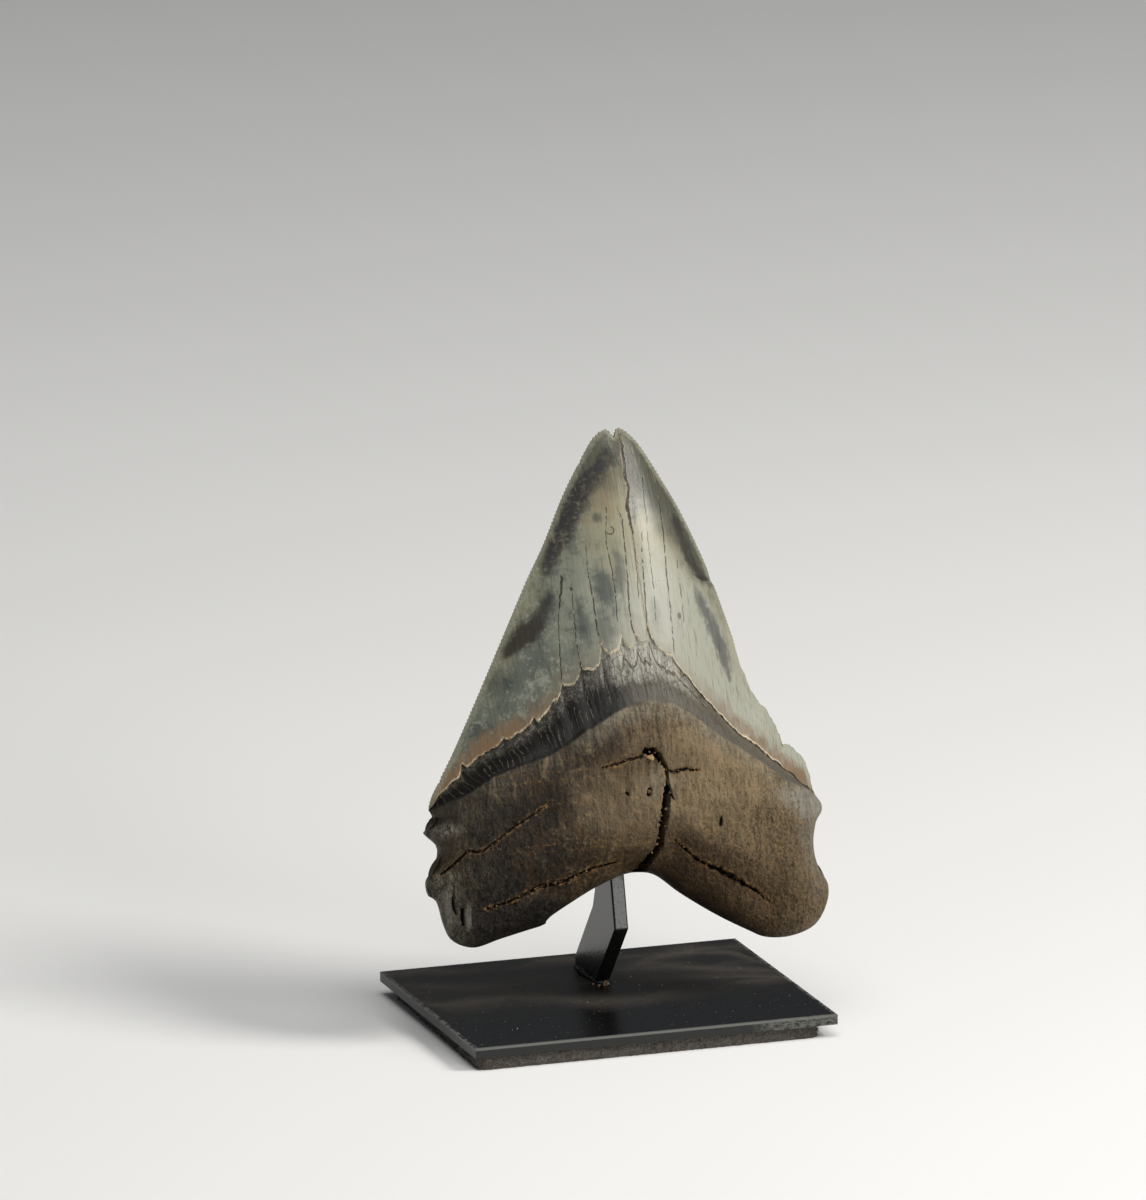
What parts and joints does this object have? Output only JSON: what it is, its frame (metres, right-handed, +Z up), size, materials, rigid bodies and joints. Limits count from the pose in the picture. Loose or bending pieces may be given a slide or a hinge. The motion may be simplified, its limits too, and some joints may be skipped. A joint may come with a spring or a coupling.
{
  "type": "megalodon tooth on a stand",
  "caption": "Fossil megalodon tooth held tip up, display face forward, on a bent steel post and a thin felt-backed steel plate.",
  "frame": {"origin": "middle of the felt's underside, where the stand rests", "axes": "+Z up towards the tooth's tip, the display face looks along -Y, +X to the right of someone facing it"},
  "size_m": [0.0838, 0.06, 0.1162],
  "materials": {
    "tooth": "satin grey-green enamel, dark bourlette and matte granular brown root",
    "epoxy": "dark set epoxy",
    "painted_steel": "satin black paint, dusty on top and worn at one edge",
    "felt": "fuzzy grey-brown felt"
  },
  "bodies": {
    "root": {"tooth": "tooth", "epoxy_bed": "epoxy", "post": "painted_steel", "base_plate": "painted_steel", "felt_pad": "felt"}
  },
  "joints": []
}
